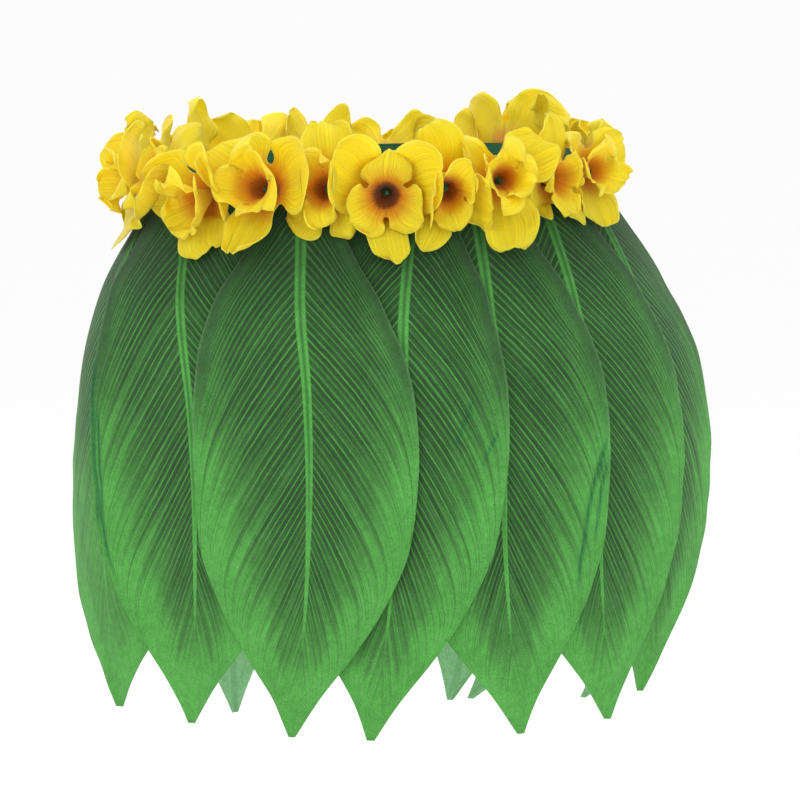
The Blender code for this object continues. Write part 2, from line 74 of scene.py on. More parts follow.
Leaf = namedtuple(
    "Leaf",
    "name root belly tip tip_drop root_half_width shoulder left right layer_left layer_right lift",
)
LEAVES = (
    Leaf("leaf_01", -88.0, -67.0, -65.2, 0.3270, 0.0240, 1.25, 1.00, 1.30, 1.0, 0.0, 0.0035),
    Leaf("leaf_02", -57.0, -36.7, -40.9, 0.3300, 0.0240, 1.45, 1.00, 1.00, 1.0, 0.5, 0.0130),
    Leaf("leaf_03", -19.0, -13.7, -18.6, 0.3350, 0.0240, 1.00, 1.07, 0.94, 1.2, 1.2, 0.0035),
    Leaf("leaf_04", 10.5, 1.5, -3.6, 0.3380, 0.0195, 1.15, 1.00, 0.93, 0.0, 1.0, 0.0035),
    Leaf("leaf_05", 27.0, 20.2, 26.1, 0.3385, 0.0195, 1.08, 1.00, 0.98, 0.0, 1.0, 0.0035),
    Leaf("leaf_06", 49.0, 40.3, 47.6, 0.3365, 0.0225, 1.10, 1.00, 0.97, 0.0, 1.0, 0.0035),
    Leaf("leaf_07", 73.0, 62.0, 57.3, 0.3225, 0.0215, 1.25, 1.05, 0.80, 0.0, 1.0, 0.0035),
    Leaf("leaf_08", 104.0, 108.0, 136.0, 0.3590, 0.0240, 1.25, 1.00, 1.00, 0.0, 1.0, 0.0035),
    Leaf("leaf_09", 132.0, 138.0, 163.0, 0.3640, 0.0240, 1.30, 1.00, 1.00, 0.3, 1.2, 0.0035),
    Leaf("leaf_10", 160.0, 160.0, 167.2, 0.3650, 0.0240, 1.30, 1.00, 1.00, 0.0, 0.9, 0.0035),
    Leaf("leaf_11", 188.0, 187.0, 185.0, 0.3600, 0.0240, 1.35, 1.00, 1.00, 0.0, 0.0, 0.0035),
    Leaf("leaf_12", 217.0, 213.0, 214.0, 0.3657, 0.0240, 1.35, 1.00, 1.00, 1.0, 0.0, 0.0035),
    Leaf("leaf_13", 244.5, 246.0, 227.0, 0.3350, 0.0240, 1.30, 1.00, 1.00, 1.0, 0.0, 0.0035),
)
ROOT_BEND = 4
TIP_BEND = 4
LEAF_HALF_WIDTH = 0.0705
ROOT_TOP = -0.009
ROOT_END = 0.008
SHOULDER_AT = 0.045
SHOULDER_END = 0.24

# A leaf's outline below its root: share of its length, share of its full half width.
OUTLINE = (
    (0.00, 0.330),
    (0.09, 0.500),
    (0.168, 0.727),
    (0.209, 0.810),
    (0.272, 0.920),
    (0.363, 0.990),
    (0.45, 1.010),
    (0.568, 0.980),
    (0.643, 0.930),
    (0.747, 0.740),
    (0.836, 0.500),
    (0.93, 0.200),
    (1.00, 0.030),
)
SHINGLE_STEP = 0.0065
SHINGLE_START = 0.003
SHINGLE_FULL = 0.018
EDGE_LIFT_FROM = 0.30
EDGE_LIFT_START = 0.030
EDGE_LIFT_REACH = 0.110
TOP_LAYER = 1.2

# The fine leaf mesh, its cloth and its print.
LEAF_COLUMNS = 73
LEAF_ROWS = 120
EDGE_CROWDING = 0.4
LEAF_CLOTH = 0.0007
LEAST_HALF_WIDTH = 0.004
MIDRIB_RAISE = 0.0006
MAIN_VEIN_SPACING = 0.0056
CORD_SPACING = 0.0016
WAVE_FREE_FROM = 0.035
WAVE_FREE_AT = 0.120
RIPPLE_LENGTH = 0.034
RIPPLE_SIZE = 0.00025

# The waves of a hanging leaf: length and size.
WAVES = ((0.160, 0.0005), (0.085, 0.00028), (0.050, 0.00014))

# Leaves that lie so close on their neighbours that their waves stay low.
WAVE_SHARES = {"leaf_08": 0.30, "leaf_09": 0.30}

# How wide the midrib is on each side of its middle: share of the leaf's length, metres.
MIDRIB = (
    (0.00, 0.0037),
    (0.25, 0.0034),
    (0.45, 0.0026),
    (0.65, 0.0016),
    (0.78, 0.0009),
    (0.86, 0.0002),
)

# How steeply the printed veins leave the midrib: drop, metres down for each metre across.
VEIN_SLOPE = (
    (-0.40, 0.85),
    (0.02, 1.00),
    (0.12, 1.28),
    (0.18, 1.73),
    (0.23, 2.75),
    (0.28, 5.00),
    (0.34, 9.00),
)
VEIN_SWEEP = 0.0255
VEIN_ROUNDS = 34

# How far the dark heart of the print reaches: share of the leaf's length, share of its width.
DARK_HEART = ((0.0, 1.15), (0.3, 0.92), (0.5, 0.62), (0.7, 0.42), (0.85, 0.24), (0.95, 0.0))

# Where the print, its painted shade and its painted sheen change, along the leaf or across it: the
# start and the length of each step.
LIGHT_TIP = (0.62, 0.36)
STREAKS_START = (0.08, 0.25)
STREAKS_END = (0.70, 0.28)
TIP_FADE = (0.68, 0.34)
EDGE_FADE = (0.70, 0.30)
EDGE_FADE_START = (0.35, 0.2)
SHADED_MARGIN = (0.80, 0.14)
SHADED_MARGIN_END = (0.28, 0.22)
SHEEN_RIM = (0.975, 0.02)
SHEEN_RIM_END = (0.35, 0.3)
TOP_SHADE = (0.030, 0.060)

# Creases that show in the photo: the leaf, the width and the depth, then across and drop along it.
CREASES = (
    ("leaf_02", 0.0011, 0.0010, ((-0.985, 0.095), (-0.975, 0.150), (-0.97, 0.185), (-0.985, 0.225))),
    ("leaf_02", 0.0010, 0.0008, ((-0.93, 0.130), (-0.925, 0.165), (-0.94, 0.205), (-0.96, 0.250))),
    (
        "leaf_05",
        0.0012,
        0.0014,
        ((0.995, 0.150), (0.865, 0.181), (0.81, 0.206), (0.80, 0.231), (0.87, 0.256)),
    ),
    ("leaf_05", 0.0009, 0.0009, ((0.99, 0.166), (0.93, 0.187), (0.915, 0.206), (0.91, 0.226))),
    ("leaf_05", 0.0009, 0.0007, ((0.97, 0.158), (0.93, 0.172), (0.90, 0.184))),
    ("leaf_04", 0.0008, 0.0005, ((0.67, 0.126), (0.58, 0.141), (0.49, 0.158))),
    ("leaf_04", 0.0008, 0.0005, ((0.91, 0.146), (0.83, 0.156), (0.74, 0.170))),
    ("leaf_07", 0.0009, 0.0006, ((-0.05, 0.120), (0.02, 0.170), (0.04, 0.230))),
    ("leaf_09", 0.0011, 0.0009, ((-0.60, 0.110), (-0.52, 0.150), (-0.50, 0.195))),
    ("leaf_12", 0.0011, 0.0009, ((0.70, 0.130), (0.60, 0.165), (0.58, 0.215))),
)

# Where a leaf is painted lighter, as painted sheen at the side of the skirt: the leaf, the drop,
# over what length, how light.
SHEEN_LIGHTER = (("leaf_01", 0.135, 0.060, 0.75),)

# A broader hidden shoulder on the left: the leaf, how much broader, to what drop.
LEFT_SHOULDERS = {"leaf_04": (0.45, 0.080)}

# Flowers, as in the solids: angle, height, turn, lift, roll, size, forward.
Flower = namedtuple("Flower", "angle height turn lift roll size forward")
FLOWERS = (
    Flower(-87.0, 0.005, 4.0, 2.0, -30.0, 0.98, 1.0),
    Flower(-64.0, 0.007, -16.0, 26.0, 30.0, 0.98, 0.1),
    Flower(-45.0, 0.004, -14.0, -20.0, -20.0, 0.98, 0.6),
    Flower(-27.0, 0.006, -14.0, 12.0, -40.0, 1.04, 1.0),
    Flower(-11.0, 0.006, -10.0, 10.0, 30.0, 0.96, 0.1),
    Flower(3.0, 0.005, -2.0, -8.0, -30.0, 1.02, 0.9),
    Flower(18.0, 0.006, -6.0, -10.0, 45.0, 1.00, 0.5),
    Flower(33.0, 0.007, -12.0, 7.0, -20.0, 0.98, 0.8),
    Flower(49.0, 0.005, 4.0, 0.0, 30.0, 0.90, 0.1),
    Flower(67.0, 0.005, -20.0, 8.0, -30.0, 0.94, 0.8),
    Flower(87.0, 0.005, -6.0, 0.0, 10.0, 0.76, 0.0),
    Flower(107.0, 0.006, -2.0, 16.0, -30.0, 0.82, 0.6),
    Flower(126.0, 0.006, 8.0, 8.0, 30.0, 0.92, 0.1),
    Flower(144.0, 0.006, -6.0, 18.0, -30.0, 0.98, 0.9),
    Flower(161.0, 0.002, 6.0, -20.0, -30.0, 0.88, 0.0),
    Flower(178.0, 0.000, -8.0, -12.0, -30.0, 0.84, 0.8),
    Flower(195.0, 0.002, 6.0, -14.0, -30.0, 0.90, 0.1),
    Flower(212.0, 0.004, -8.0, 4.0, -30.0, 0.94, 0.9),
    Flower(231.0, 0.005, 8.0, -4.0, 30.0, 0.90, 0.1),
    Flower(252.0, 0.006, -4.0, 16.0, -30.0, 0.96, 0.8),
)
PETALS_PER_WHORL = 3
Whorl = namedtuple(
    "Whorl", "name base_radius length slope_base slope_tip slope_power split half_width turn"
)
WHORLS = (
    Whorl("inner", 0.0025, 0.038, 15.0, 104.0, 1.25, 0.56, 0.0180, 0.0),
    Whorl("outer", 0.0043, 0.045, 48.0, 106.0, 0.9, 0.32, 0.0250, 60.0),
)
RING_SHARE = 0.92
BLADE_TIP_SHARE = 0.70
BLADE_BROAD_AT = 0.55
BLADE_TIP_FROM = 0.45
BLADE_TIP_POWER = 2.2
SPINE_STEPS = 24
CUP_DEPTH = 0.012
CELL_MARGIN = 0.0008
CELL_SOFTNESS = 0.0050
CELL_SHARE = 0.65
CELL_REACH = 0.090
FORWARD_SLANT = 0.55
FORWARD_CLOSING = 20.0
CROWDING_BACK = 0.25
CROWDING_RADIUS = 0.020
WHORL_GAP = 0.0019
SEAT_REACH = 0.0065
COVER_MARGIN = 0.0014
SETTLE_ROUNDS = 5
ROOT_MARGIN_DEGREES = 2.0
LEAN_START = 0.004
LEAN_REACH = 0.030
LEAN_SHARE = 0.9
HABITS = (
    ("length", -0.12, 0.12),
    ("slope", -16.0, 16.0),
    ("sway", -0.26, 0.26),
    ("curl", -0.0075, 0.0045),
    ("width", 0.78, 1.12),
)
HABIT_SEEDS = {1: 3000}

# What only the fine petals have, in degrees, metres and shares of their length.
TIP_TURN = 54.0
TIP_TURN_FROM = 0.55
CLOSED_AT = 0.8
TIP_ROUNDING = 0.30
TWIST = 0.0068
FOLD = 0.0036
RIM_ROLL = 0.0044
RIM_ROLLED = (-0.35, 1.0)

# Creases that run along a petal: size, how many across it, how much they lean.
PETAL_CREASES = ((0.0007, 3.2, 0.0), (0.0009, 1.7, 2.0))

# Ruffles of a petal's rims: size, how often along it, how close to the rim they stay.
RUFFLES = ((0.0042, 8.0, 3), (0.00252, 11.0, 2))

# Petals that the photo shows longer or narrower: flower, whorl, petal, length, width.
OWN_PETALS = (
    (2, 0, 1, 1.25, 1.20),
    (2, 1, 0, 1.14, 1.30),
    (2, 1, 1, 1.12, 1.20),
    (3, 0, 1, 1.14, 1.20),
    (3, 1, 0, 1.04, 1.25),
    (3, 1, 1, 1.10, 1.10),
    (3, 1, 2, 1.16, 0.60),
    (4, 1, 1, 1.05, 1.24),
    (4, 1, 2, 1.20, 1.15),
    (5, 0, 1, 1.28, 1.05),
    (5, 1, 0, 1.18, 1.20),
    (5, 1, 1, 1.18, 1.20),
    (5, 1, 2, 1.06, 0.54),
    (9, 1, 0, 0.80, 0.90),
)

# How much smaller the flowers at the right end look, and how dark each throat is.
OWN_SIZES = {9: 0.86, 10: 0.70, 11: 0.80}
THROATS = {3: 0.62, 4: 0.70, 5: 1.00, 6: 0.62, 7: 0.08, 8: 0.0, 9: 0.0}
OTHER_THROATS = 0.12

# How far each flower is closed, in degrees: the flower and its inner and outer petals.
CLOSING = {
    0: (14, 4),
    1: (20, 6),
    2: (26, 0),
    3: (16, 0),
    4: (30, 4),
    5: (2, 0),
    6: (34, 8),
    7: (42, 9),
    8: (30, 6),
    9: (26, 4),
}
OTHER_CLOSING = (18, 0)

# The fine petal mesh and its cloth.
PETAL_COLUMNS = 19
RING_ROWS = 9
BLADE_ROWS = 20
PETAL_CLOTH = 0.0005

# The satin of each side of a petal: throat, blade and deepest colour, and how strongly its rim is
# painted lighter, as the glow of light through the thin satin.
SATIN = (
    ("front", (236, 138, 14), (255, 217, 24), (108, 46, 10), 0.40),
    ("back", (238, 152, 44), (255, 218, 48), (216, 126, 44), 0.25),
    ("rim", (240, 170, 24), (254, 228, 66), (190, 108, 20), 0.50),
)

# How far along each side of a petal its throat ends and its blade starts.
SATIN_SHARES = {
    "inner": ((0.32, 0.86), (0.05, 0.50), (0.0, 0.30)),
    "outer": ((0.14, 0.64), (0.05, 0.50), (0.0, 0.30)),
}

# The camera.
CAMERA_DISTANCE = 4.0
CAMERA_ELEVATION = 4.5
CAMERA_TARGET = (0.0162, 0.0, -0.143)
METRES_PER_PIXEL = 0.000646
IMAGE_SIZE = 800
SENSOR = 36.0

# The floor, and the point that all the lights face.
FLOOR_DEPTH = -0.62
FLOOR_REACH = 60.0
LIT_POINT = (0.0, 0.0, -0.12)

# The lights: name, place, size and power.
LIGHTS = (
    ("key", (-1.5, -2.6, 1.7), 1.8, 18.0),
    ("fill", (2.0, -2.4, 0.6), 2.0, 10.0),
    ("top", (0.1, 0.3, 2.3), 1.8, 16.0),
    ("back_left", (-1.9, 2.4, 1.1), 1.8, 10.0),
    ("back_right", (1.9, 2.2, 1.1), 1.8, 8.0),
)


def srgb(red, green, blue):
    """A colour given from 0 to 255 as the eye sees it, in the linear values that shaders use."""
    shares = [value / 255.0 for value in (red, green, blue)]
    linear = [s / 12.92 if s <= 0.04045 else ((s + 0.055) / 1.055) ** 2.4 for s in shares]
    return (*linear, 1.0)


def smooth_step(x):
    x = np.clip(x, 0.0, 1.0)
    return x * x * (3.0 - 2.0 * x)


def rising(x, start, length):
    """A smooth step from 0 at the start to 1 after the length."""
    return smooth_step((x - start) / length)


def monotone(rows, x):
    """Reads a table at x with a smooth curve that doesn't overshoot. The first column is x."""
    table = np.array(rows)
    knots, values = table[:, 0], table[:, 1:]
    gaps = np.diff(knots)[:, None]
    slopes = np.diff(values, axis=0) / gaps
    tangents = np.zeros_like(values)
    before, after = slopes[:-1], slopes[1:]
    same_way = before * after > 0
    mean = 2.0 * before * after / np.where(same_way, before + after, 1.0)
    tangents[1:-1] = np.where(same_way, mean, 0.0)
    tangents[-1] = slopes[-1]
    x = np.clip(np.asarray(x, float), knots[0], knots[-1])
    i = np.clip(np.searchsorted(knots, x, side="right") - 1, 0, len(knots) - 2)
    gap = gaps[i, 0]
    t = ((x - knots[i]) / gap)[..., None]
    rise = values[i + 1] - values[i]
    start = tangents[i] * gap[..., None]
    end = tangents[i + 1] * gap[..., None]
    return values[i] + t * (start + t * (3 * rise - 2 * start - end + t * (start + end - 2 * rise)))


def waist_height(angle):
    side = WAIST_HALF_WIDTH * np.sin(angle) * TILT_SIDE
    return side - WAIST_HALF_DEPTH * np.cos(angle) * TILT_BACK


def form_point(angle, drop):
    half_width, half_depth, x, y = np.moveaxis(monotone(SECTIONS, drop), -1, 0)
    across = x + half_width * np.sin(angle)
    along = y - half_depth * np.cos(angle)
    return np.stack([across, along, waist_height(angle) - drop], axis=-1)


def form_normal(angle, drop):
    step = 1e-4
    round_way = form_point(angle + step, drop) - form_point(angle - step, drop)
    down_way = form_point(angle, drop + step) - form_point(angle, drop - step)
    normal = np.cross(down_way, round_way)
    return normal / np.linalg.norm(normal, axis=-1, keepdims=True)


def round_rate(angle, drop):
    half_width, half_depth = np.moveaxis(monotone(SECTIONS, drop), -1, 0)[:2]
    return np.hypot(half_width * np.cos(angle), half_depth * np.sin(angle))


def form_place(points):
    """Angle and drop of the nearest place on the form, and the distance outside it."""
    foot = points
    for _ in range(3):
        angle = np.arctan2(foot[..., 0], -foot[..., 1])
        for _ in range(3):
            drop = waist_height(angle) - foot[..., 2]
            half_width, half_depth, x, y = np.moveaxis(monotone(SECTIONS, drop), -1, 0)
            angle = np.arctan2((foot[..., 0] - x) / half_width, (y - foot[..., 1]) / half_depth)
        normal = form_normal(angle, drop)
        outside = np.sum((points - form_point(angle, drop)) * normal, axis=-1)
        foot = points - normal * outside[..., None]
    return angle, drop, outside


class Shader:
    """Builds a material's nodes with short calls."""

    def __init__(self, name, roughness, sheen=0.0, sheen_roughness=0.5, specular=0.5):
        self.material = bpy.data.materials.new(name)
        self.material.use_nodes = True
        self.tree = self.material.node_tree
        self.surface = self.tree.nodes["Principled BSDF"]
        self.surface.inputs["Roughness"].default_value = roughness
        self.surface.inputs["Sheen Weight"].default_value = sheen
        self.surface.inputs["Sheen Roughness"].default_value = sheen_roughness
        self.surface.inputs["Specular IOR Level"].default_value = specular

    def put(self, socket, value):
        if isinstance(value, bpy.types.NodeSocket):
            self.tree.links.new(value, socket)
        else:
            socket.default_value = value

    def math(self, operation, *values):
        node = self.tree.nodes.new("ShaderNodeMath")
        node.operation = operation
        for socket, value in zip(node.inputs, values):
            self.put(socket, value)
        return node.outputs[0]

    def times(self, *values):
        return reduce(lambda total, value: self.math("MULTIPLY", total, value), values)

    def plus(self, *values):
        return reduce(lambda total, value: self.math("ADD", total, value), values)

    def minus(self, first, second):
        return self.math("SUBTRACT", first, second)

    def without(self, share):
        """What a share leaves of one."""
        return self.minus(1.0, share)

    def swing(self, noise, size):
        """Turns noise round a half into a swing round nought."""
        return self.times(self.minus(noise, 0.5), size)

    def stripes(self, value, spacing):
        """Rises to one and falls to nought once in each spacing."""
        return self.times(self.math("PINGPONG", self.times(value, 1.0 / spacing), 0.5), 2.0)

    def attribute(self, name):
        node = self.tree.nodes.new("ShaderNodeAttribute")
        node.attribute_name = name
        return node.outputs["Fac"]

    def place(self):
        return self.tree.nodes.new("ShaderNodeTexCoord").outputs["Object"]

    def noise(self, scale, detail=2.0, roughness=0.5, along=None):
        """Noise over the object, or along one value if that is given."""
        node = self.tree.nodes.new("ShaderNodeTexNoise")
        node.inputs["Scale"].default_value = scale
        node.inputs["Detail"].default_value = detail
        node.inputs["Roughness"].default_value = roughness
        if along is None:
            self.put(node.inputs["Vector"], self.place())
        else:
            node.noise_dimensions = "1D"
            self.put(node.inputs["W"], along)
        return node.outputs["Fac"]

    def ramp(self, value, low, high, start=0.0, end=1.0):
        """A smooth step from start to end as the value goes from low to high."""
        node = self.tree.nodes.new("ShaderNodeMapRange")
        node.interpolation_type = "SMOOTHSTEP"
        for name, given in (
            ("Value", value),
            ("From Min", low),
            ("From Max", high),
            ("To Min", start),
            ("To Max", end),
        ):
            self.put(node.inputs[name], given)
        return node.outputs["Result"]

    def mix(self, share, first, second, blend="MIX"):
        node = self.tree.nodes.new("ShaderNodeMix")
        node.data_type = "RGBA"
        node.blend_type = blend
        self.put(node.inputs["Factor"], share)
        self.put(node.inputs[6], first)
        self.put(node.inputs[7], second)
        return node.outputs[2]

    def colour(self, value):
        self.put(self.surface.inputs["Base Color"], value)

    def bump(self, height, distance, strength=1.0):
        node = self.tree.nodes.new("ShaderNodeBump")
        node.inputs["Distance"].default_value = distance
        node.inputs["Strength"].default_value = strength
        self.put(node.inputs["Height"], height)
        self.put(self.surface.inputs["Normal"], node.outputs["Normal"])


def cloth_grain(shader, scale):
    """The fine uneven grain of pressed fibres."""
    fine = shader.noise(scale, 3.0, 0.65)
    coarse = shader.noise(scale * 0.22, 2.0)
    return shader.plus(shader.times(fine, 0.7), shader.times(coarse, 0.3))


def leaf_face_material():
    """The printed face: veins that curve from the midrib to the margin, fading towards the tip."""
    s = Shader("leaf_print", 0.74, sheen=0.05, sheen_roughness=0.6, specular=0.14)
    vein, tone, fade = s.attribute("vein"), s.attribute("tone"), s.attribute("fade")
    side, margin_shade, shade = s.attribute("side"), s.attribute("margin_shade"), s.attribute("shade")
    offset = s.attribute("print_offset")
    wobble = s.swing(s.noise(55.0, 2.0), 0.0016)
    way = s.plus(vein, wobble, offset)
    main = s.ramp(s.stripes(way, MAIN_VEIN_SPACING), 0.52, 1.0)
    loud = s.ramp(s.noise(150.0, 1.0, along=way), 0.35, 0.62, 0.45, 1.0)
    main = s.times(main, loud)
    minor = s.ramp(s.noise(560.0, 1.5, along=way), 0.44, 0.70)
    gap = s.ramp(s.noise(400.0, 1.5, along=s.plus(way, 3.7)), 0.50, 0.72)
    broad = s.noise(105.0, 1.5, along=s.plus(way, 9.1))
    patch = s.swing(broad, 1.5)
    light_share = s.plus(tone, s.times(patch, s.attribute("streaks")))

    dark, middle, light = srgb(38, 70, 36), srgb(60, 110, 52), srgb(82, 157, 70)
    body = s.mix(s.ramp(light_share, 0.0, 0.55), dark, middle)
    body = s.mix(s.ramp(light_share, 0.45, 1.0), body, light)
    body = s.mix(s.times(gap, fade, 0.50), body, srgb(38, 72, 38))
    body = s.mix(s.times(minor, fade, 0.40), body, srgb(66, 128, 58))
    veined = s.times(main, fade, s.ramp(tone, 0.2, 1.0, 0.85, 0.40))
    body = s.mix(veined, body, srgb(78, 150, 66))
    # Painted shade: a darker, greyer band without veins along the upper margins of each leaf.
    body = s.mix(margin_shade, body, srgb(50, 86, 48))

    width = s.attribute("midrib")
    share = s.math("DIVIDE", s.math("ABSOLUTE", side), s.math("MAXIMUM", width, 0.0001))
    rib = s.without(s.ramp(share, 0.78, 1.10))
    rib = s.times(rib, s.ramp(width, 0.0002, 0.0011))
    groove = s.without(s.ramp(share, 0.10, 0.50))
    groove = s.times(groove, s.ramp(width, 0.0012, 0.0030))
    rib_colour = s.mix(groove, srgb(80, 156, 68), srgb(58, 118, 52))
    body = s.mix(rib, body, rib_colour)
    # Painted sheen: a pale line along the leaf's upper margins.
    body = s.mix(s.attribute("rim"), body, srgb(98, 140, 92))
    # Painted shadow: a dark line along each crease.
    body = s.mix(s.attribute("crease_shadow"), body, srgb(14, 84, 52))

    grain = cloth_grain(s, 1050.0)
    speck = s.ramp(grain, 0.34, 0.68, 0.80, 1.18)
    blotch = s.ramp(s.noise(38.0, 3.0), 0.3, 0.7, 0.92, 1.07)
    # The grain and blotches of the cloth, times the painted shade under the flowers.
    level = s.times(speck, blotch, shade)
    flat = s.tree.nodes.new("ShaderNodeCombineColor")
    for channel in ("Red", "Green", "Blue"):
        s.put(flat.inputs[channel], level)
    s.colour(s.mix(1.0, body, flat.outputs["Color"], "MULTIPLY"))
    emboss = s.plus(s.times(main, fade, 0.55), s.times(grain, 0.55))
    emboss = s.minus(emboss, s.times(groove, rib, 0.9))
    s.bump(emboss, 0.00022)
    return s.material


def leaf_reverse_material():
    """The unprinted back of the leaf cloth, where the green shows pale through the fibres, painted
    lighter still as the glow of light through the thin cloth.
    """
    s = Shader("leaf_reverse", 0.85, sheen=0.15, sheen_roughness=0.5, specular=0.15)
    grain = cloth_grain(s, 1100.0)
    fibres = s.ramp(grain, 0.34, 0.68)
    # The pale cloth, painted lighter still as the glow of light shining through it.
    body = s.mix(fibres, srgb(122, 182, 124), srgb(158, 208, 156))
    stripe = s.ramp(s.noise(300.0, 1.0, along=s.attribute("vein")), 0.45, 0.65, 0.0, 0.20)
    body = s.mix(stripe, body, srgb(106, 164, 108))
    rib = s.without(s.ramp(s.math("ABSOLUTE", s.attribute("side")), 0.0018, 0.0030))
    body = s.mix(s.times(rib, 0.35), body, srgb(98, 158, 100))
    s.colour(body)
    s.bump(grain, 0.0004)
    return s.material


def leaf_edge_material():
    s = Shader("leaf_edge", 0.8, sheen=0.2, specular=0.2)
    s.colour(s.mix(s.noise(700.0, 2.0), srgb(84, 140, 82), srgb(124, 176, 118)))
    return s.material


def petal_material(name, colours, shares, rim_glow):
    """Satin with a warm throat, a clear yellow blade, fine veins and a rim and tip painted lighter
    as the glow of light through the thin satin.
    """
    throat, tip, deep = colours
    deep_share, full_share = shares
    s = Shader(name, 0.50, sheen=0.10, sheen_roughness=0.35, specular=0.25)
    along, edge, lane = s.attribute("along"), s.attribute("edge"), s.attribute("lane")
    drift = s.swing(s.noise(120.0, 2.0), 0.16)
    paler = s.without(s.attribute("throat"))
    reach = s.plus(along, drift, s.times(paler, 0.12))
    reach = s.minus(reach, s.swing(s.noise(26.0, 2.0, along=lane), 0.24))
    body = s.mix(s.ramp(reach, deep_share + 0.10, full_share), throat, tip)
    deepest = s.ramp(reach, deep_share, deep_share + 0.16, 1.0, 0.0)
    body = s.mix(s.times(deepest, s.attribute("throat")), body, deep)
    vein = s.ramp(s.noise(64.0, 1.0, along=lane), 0.52, 0.68)
    body = s.mix(s.times(vein, 0.26), body, throat)
    # Painted glow of light through the thin satin: the rims and the tip are lighter.
    rim = s.ramp(edge, 0.78, 1.0)
    body = s.mix(s.times(rim, rim_glow), body, srgb(252, 232, 70))
    grain = s.noise(1600.0, 2.0, 0.6)
    tint = s.ramp(grain, 0.3, 0.7, 0.0, 0.05)
    s.colour(s.mix(tint, body, srgb(188, 142, 20)))
    bulge = s.times(s.noise(150.0, 2.0), 0.6)
    s.bump(s.plus(s.times(vein, -0.45), s.times(grain, 0.25), bulge), 0.0011, 0.9)
    s.surface.inputs["Subsurface Weight"].default_value = 0.45
    s.surface.inputs["Subsurface Radius"].default_value = (0.006, 0.0034, 0.0006)
    s.surface.inputs["Subsurface Scale"].default_value = 1.0
    return s.material


def petal_materials(whorl_name):
    """The front, the back and the rim of a whorl's petals."""
    made = []
    for (side, throat, tip, deep, rim_glow_share), shares in zip(SATIN, SATIN_SHARES[whorl_name]):
        colours = (srgb(*throat), srgb(*tip), srgb(*deep))
        made.append(petal_material(f"{whorl_name}_petal_{side}", colours, shares, rim_glow_share))
    return made


def elastic_material():
    """Ribbed elastic: cords that run round the band and fine stitches across them, with painted
    light and shade on the cords.
    """
    s = Shader("band_elastic", 0.75, sheen=0.3, specular=0.25)
    split = s.tree.nodes.new("ShaderNodeSeparateXYZ")
    s.put(split.inputs["Vector"], s.place())
    up = split.outputs["Z"]
    cord = s.stripes(up, CORD_SPACING)
    around = s.math("ARCTAN2", split.outputs["X"], split.outputs["Y"])
    stitch = s.math("PINGPONG", s.times(around, 120.0), 0.5)
    grain = s.noise(1400.0, 2.0)
    # Painted light and shade of the ribs: the cords are lighter on their crests and darker between
    # them.
    body = s.mix(cord, srgb(18, 66, 44), srgb(38, 112, 76))
    body = s.mix(s.times(grain, 0.4), body, srgb(24, 80, 52))
    s.colour(body)
    s.bump(s.plus(s.times(cord, 0.8), s.times(stitch, 0.5), s.times(grain, 0.2)), 0.0004)
    return s.material


def calyx_material():
    s = Shader("calyx", 0.5, sheen=0.1, specular=0.4)
    s.colour(s.mix(s.noise(400.0, 2.0), srgb(20, 74, 48), srgb(44, 124, 76)))
    s.bump(s.noise(500.0, 2.0), 0.0003)
    return s.material


def mesh_object(name, points, faces, materials, attributes=None, slots=None):
    mesh = bpy.data.meshes.new(name)
    mesh.from_pydata([tuple(map(float, point)) for point in points], [], faces)
    for material in materials:
        mesh.materials.append(material)
    if slots is not None:
        mesh.polygons.foreach_set("material_index", slots)
    for key, values in (attributes or {}).items():
        layer = mesh.attributes.new(key, "FLOAT", "POINT")
        layer.data.foreach_set("value", np.asarray(values, dtype=np.float32).ravel())
    mesh.shade_smooth()
    made = bpy.data.objects.new(name, mesh)
    bpy.context.scene.collection.objects.link(made)
    return made


def thicken(made, thickness, offset):
    """Gives a sheet its thickness: the back gets the second material and the rim the third."""
    wall = made.modifiers.new("wall", "SOLIDIFY")
    wall.thickness = thickness
    wall.offset = offset
    wall.material_offset = 1
    wall.material_offset_rim = 2
    bpy.context.view_layer.update()
    graph = bpy.context.evaluated_depsgraph_get()
    solid = bpy.data.meshes.new_from_object(made.evaluated_get(graph))
    made.modifiers.clear()
    made.data = solid


def grid_faces(rows, columns, start=0, flip=False):
    faces = []
    for i in range(rows - 1):
        for j in range(columns - 1):
            a = start + i * columns + j
            face = (a, a + columns, a + columns + 1, a + 1)
            faces.append(tuple(reversed(face)) if flip else face)
    return faces


def midrib_angle(leaf, drop):
    share = np.clip(drop / leaf.tip_drop, 0.0, 1.0)
    from_root = (leaf.root - leaf.belly) * (1.0 - share) ** ROOT_BEND
    from_tip = (leaf.tip - leaf.belly) * share**TIP_BEND
    return np.radians(leaf.belly + from_root + from_tip)


def leaf_half_width(leaf, drop):
    share = np.clip((drop - ROOT_END) / (leaf.tip_drop - ROOT_END), 0.0, 1.0)
    outline = monotone(OUTLINE, share)[..., 0] * LEAF_HALF_WIDTH
    at_root = leaf.root_half_width / (OUTLINE[0][1] * LEAF_HALF_WIDTH)
    begun = smooth_step(share / SHOULDER_AT)
    root = 1.0 + (at_root - 1.0) * (1.0 - begun)
    broad = begun * (1.0 - rising(share, SHOULDER_AT, SHOULDER_END))
    return outline * root * (1.0 + (leaf.shoulder - 1.0) * broad)


def side_half_width(leaf, across, drop):
    """The half width on the side of each point, never so small that the print would divide by it."""
    side = np.where(across < 0.0, leaf.left, leaf.right)
    return np.maximum(leaf_half_width(leaf, drop) * side, LEAST_HALF_WIDTH)


def edge_lift_share(drop):
    return rising(drop, EDGE_LIFT_START, EDGE_LIFT_REACH)


